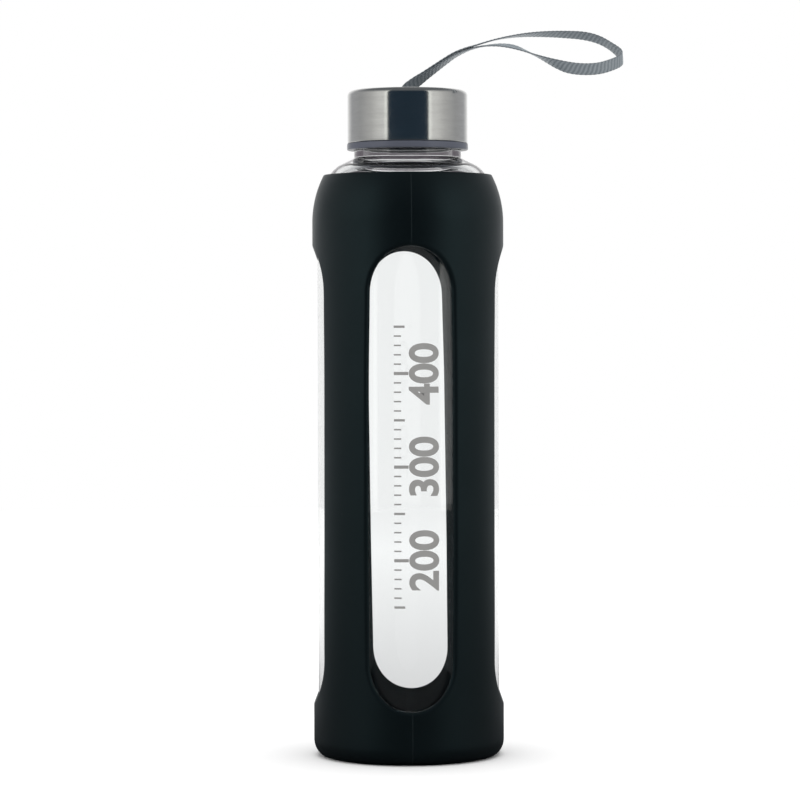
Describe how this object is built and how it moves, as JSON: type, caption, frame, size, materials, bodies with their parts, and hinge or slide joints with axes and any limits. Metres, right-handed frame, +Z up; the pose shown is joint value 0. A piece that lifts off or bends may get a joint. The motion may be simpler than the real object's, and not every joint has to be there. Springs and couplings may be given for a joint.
{
  "type": "glass water bottle",
  "caption": "Clear glass bottle in a windowed black silicone sleeve, with a brushed steel screw lid and a woven carry strap looped through its top.",
  "frame": {"origin": "centre of the flat underside, on the floor", "axes": "+Z up along the bottle's axis, -Y towards the front window, +X towards the strap"},
  "size_m": [0.1145, 0.07, 0.2659],
  "materials": {
    "glass": "clear polished borosilicate",
    "sleeve": "matte silicone",
    "steel": "brushed round the lid",
    "liner": "satin moulded",
    "seal": "satin silicone",
    "pin": "drawn wire",
    "strap": "ribbed woven tape"
  },
  "bodies": {
    "bottle": {"glass_bottle": "glass", "silicone_sleeve": "sleeve"},
    "seal": {"lid_gasket": "seal"},
    "lid": {"lid_shell": "steel", "lid_liner": "liner", "strap_pin": "pin", "strap_end": "strap"},
    "strap": {"strap_loop": "strap"}
  },
  "joints": [
    {"name": "lid_lift", "type": "slide", "parent": "bottle", "child": "seal", "axis": [0, 0, 1], "range_m": [0, 0.018]},
    {"name": "lid_turn", "type": "hinge", "parent": "seal", "child": "lid", "pos_m": [0, 0, 0.2351], "axis": [0, 0, 1], "range_deg": [0, 720]},
    {"name": "strap_swing", "type": "hinge", "parent": "lid", "child": "strap", "pos_m": [0.0019, 0, 0.2457], "axis": [0, 1, 0], "range_deg": [-115, 0]}
  ],
  "couplings": [
    {"joint": "lid_lift", "follows": "lid_turn", "m_per_rad": 0.0014324}
  ]
}
